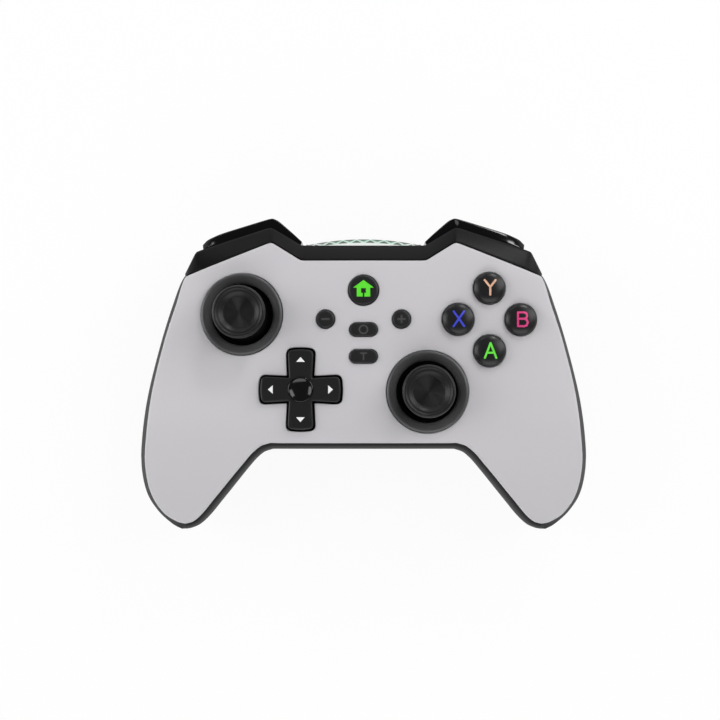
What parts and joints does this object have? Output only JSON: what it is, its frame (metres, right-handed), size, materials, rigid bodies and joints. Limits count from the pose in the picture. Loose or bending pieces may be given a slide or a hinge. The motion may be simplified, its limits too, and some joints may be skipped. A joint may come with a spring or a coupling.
{
  "type": "gamepad",
  "caption": "Wireless gamepad with two grips, offset thumb sticks, a direction pad, round face buttons, bumpers and analogue triggers.",
  "frame": {"origin": "bottom centre of the bounding box: the middle of the pad, on the plane its grips touch when it lies on its back", "axes": "+Z out of the face along the stick and button axes, +Y toward the shoulder buttons, +X to the right seen from the face"},
  "size_m": [0.153, 0.1054, 0.0545],
  "materials": {
    "faceplate": "fine matte grain",
    "housing": "matte black",
    "band": "satin black",
    "window": "frosted translucent",
    "gloss_black": "gloss",
    "trigger": "fine matte",
    "ring": "satin",
    "cap": "soft matte",
    "button": "satin",
    "membrane": "matte",
    "inner_plastic": "moulded",
    "switch": "moulded",
    "board": "solder mask",
    "steel": "plain",
    "battery": "foil pouch",
    "weight": "sintered"
  },
  "bodies": {
    "housing": {"front_shell": "faceplate", "rear_shell": "housing", "top_band": "band", "light_window": "window", "light_board": "board", "shoulder_frame": "inner_plastic", "left_trigger_pin": "steel", "right_trigger_pin": "steel", "left_trigger_spring": "steel", "right_trigger_spring": "steel", "left_stick_ring": "ring", "right_stick_ring": "ring", "left_stick_base": "switch", "right_stick_base": "switch", "dpad_membrane": "membrane", "action_membrane": "membrane", "tact_switches": "switch", "bumper_switches": "switch", "main_board": "board", "usb_socket": "steel", "battery": "battery", "left_rumble_motor": "steel", "right_rumble_motor": "steel", "housing_screws": "steel"},
    "left_bumper": {"left_bumper": "gloss_black"},
    "right_bumper": {"right_bumper": "gloss_black"},
    "left_trigger": {"left_trigger": "trigger"},
    "right_trigger": {"right_trigger": "trigger"},
    "left_stick_press": {"left_stick_carrier": "inner_plastic"},
    "left_stick_rock": {"left_stick_yoke": "switch"},
    "left_stick": {"left_stick_lever": "switch", "left_stick_cap": "cap"},
    "right_stick_press": {"right_stick_carrier": "inner_plastic"},
    "right_stick_rock": {"right_stick_yoke": "switch"},
    "right_stick": {"right_stick_lever": "switch", "right_stick_cap": "cap"},
    "dpad_rocker": {"dpad_rocker": "inner_plastic"},
    "dpad": {"dpad_cross": "button", "dpad_disc": "gloss_black"},
    "button_y": {"button_y": "button"},
    "button_x": {"button_x": "button"},
    "button_b": {"button_b": "button"},
    "button_a": {"button_a": "button"},
    "home_button": {"home_button": "button"},
    "minus_button": {"minus_button": "button"},
    "plus_button": {"plus_button": "button"},
    "capture_button": {"capture_button": "button"},
    "turbo_button": {"turbo_button": "button"},
    "left_rumble_weight": {"left_rumble_weight": "weight"},
    "right_rumble_weight": {"right_rumble_weight": "weight"}
  },
  "joints": [
    {"name": "left_stick_click", "type": "slide", "parent": "housing", "child": "left_stick_press", "axis": [0, 0, -1], "range_m": [0, 0.0005], "stiffness_N_per_m": 3000, "springref_m": -0.001},
    {"name": "left_stick_tilt_y", "type": "hinge", "parent": "left_stick_press", "child": "left_stick_rock", "pos_m": [-0.0399, 0.0197, 0.033], "axis": [1, 0, 0], "range_deg": [-16, 16], "stiffness_Nm_per_rad": 0.03},
    {"name": "left_stick_tilt_x", "type": "hinge", "parent": "left_stick_rock", "child": "left_stick", "pos_m": [-0.0399, 0.0197, 0.033], "axis": [0, 1, 0], "range_deg": [-16, 16], "stiffness_Nm_per_rad": 0.03},
    {"name": "right_stick_click", "type": "slide", "parent": "housing", "child": "right_stick_press", "axis": [0, 0, -1], "range_m": [0, 0.0005], "stiffness_N_per_m": 3000, "springref_m": -0.001},
    {"name": "right_stick_tilt_y", "type": "hinge", "parent": "right_stick_press", "child": "right_stick_rock", "pos_m": [0.0209, -0.0057, 0.033], "axis": [1, 0, 0], "range_deg": [-16, 16], "stiffness_Nm_per_rad": 0.03},
    {"name": "right_stick_tilt_x", "type": "hinge", "parent": "right_stick_rock", "child": "right_stick", "pos_m": [0.0209, -0.0057, 0.033], "axis": [0, 1, 0], "range_deg": [-16, 16], "stiffness_Nm_per_rad": 0.03},
    {"name": "dpad_rock_y", "type": "hinge", "parent": "housing", "child": "dpad_rocker", "pos_m": [-0.0205, -0.005, 0.037], "axis": [1, 0, 0], "range_deg": [-4, 4], "stiffness_Nm_per_rad": 0.15, "deforming": ["dpad_membrane"]},
    {"name": "dpad_rock_x", "type": "hinge", "parent": "dpad_rocker", "child": "dpad", "pos_m": [-0.0205, -0.005, 0.037], "axis": [0, 1, 0], "range_deg": [-4, 4], "stiffness_Nm_per_rad": 0.15},
    {"name": "button_y_press", "type": "slide", "parent": "housing", "child": "button_y", "axis": [0, 0, -1], "range_m": [0, 0.0016], "stiffness_N_per_m": 400, "springref_m": -0.001, "deforming": ["action_membrane"]},
    {"name": "button_x_press", "type": "slide", "parent": "housing", "child": "button_x", "axis": [0, 0, -1], "range_m": [0, 0.0016], "stiffness_N_per_m": 400, "springref_m": -0.001, "deforming": ["action_membrane"]},
    {"name": "button_b_press", "type": "slide", "parent": "housing", "child": "button_b", "axis": [0, 0, -1], "range_m": [0, 0.0016], "stiffness_N_per_m": 400, "springref_m": -0.001, "deforming": ["action_membrane"]},
    {"name": "button_a_press", "type": "slide", "parent": "housing", "child": "button_a", "axis": [0, 0, -1], "range_m": [0, 0.0016], "stiffness_N_per_m": 400, "springref_m": -0.001, "deforming": ["action_membrane"]},
    {"name": "home_press", "type": "slide", "parent": "housing", "child": "home_button", "axis": [0, 0, -1], "range_m": [0, 0.0005], "stiffness_N_per_m": 1000, "springref_m": -0.001},
    {"name": "minus_press", "type": "slide", "parent": "housing", "child": "minus_button", "axis": [0, 0, -1], "range_m": [0, 0.0005], "stiffness_N_per_m": 1000, "springref_m": -0.001},
    {"name": "plus_press", "type": "slide", "parent": "housing", "child": "plus_button", "axis": [0, 0, -1], "range_m": [0, 0.0005], "stiffness_N_per_m": 1000, "springref_m": -0.001},
    {"name": "capture_press", "type": "slide", "parent": "housing", "child": "capture_button", "axis": [0, 0, -1], "range_m": [0, 0.0005], "stiffness_N_per_m": 1000, "springref_m": -0.001},
    {"name": "turbo_press", "type": "slide", "parent": "housing", "child": "turbo_button", "axis": [0, 0, -1], "range_m": [0, 0.0005], "stiffness_N_per_m": 1000, "springref_m": -0.001},
    {"name": "left_bumper_press", "type": "hinge", "parent": "housing", "child": "left_bumper", "pos_m": [-0.0235, 0.042, 0.034], "axis": [0, 0, 1], "range_deg": [0, 2.5], "stiffness_Nm_per_rad": 0.8, "springref_deg": -1.72},
    {"name": "right_bumper_press", "type": "hinge", "parent": "housing", "child": "right_bumper", "pos_m": [0.0235, 0.042, 0.034], "axis": [0, 0, -1], "range_deg": [0, 2.5], "stiffness_Nm_per_rad": 0.8, "springref_deg": -1.72},
    {"name": "left_trigger_pull", "type": "hinge", "parent": "housing", "child": "left_trigger", "pos_m": [-0.0396, 0.0335, 0.022], "axis": [-0.9563, -0.2924, 0], "range_deg": [0, 16], "stiffness_Nm_per_rad": 0.12, "springref_deg": -20.05, "deforming": ["left_trigger_spring"]},
    {"name": "right_trigger_pull", "type": "hinge", "parent": "housing", "child": "right_trigger", "pos_m": [0.0396, 0.0335, 0.022], "axis": [-0.9563, 0.2924, 0], "range_deg": [0, 16], "stiffness_Nm_per_rad": 0.12, "springref_deg": -20.05, "deforming": ["right_trigger_spring"]},
    {"name": "left_rumble_spin", "type": "hinge", "parent": "housing", "child": "left_rumble_weight", "pos_m": [-0.058, -0.034, 0.018], "axis": [0, 1, 0], "continuous": true},
    {"name": "right_rumble_spin", "type": "hinge", "parent": "housing", "child": "right_rumble_weight", "pos_m": [0.058, -0.034, 0.018], "axis": [0, 1, 0], "continuous": true}
  ]
}
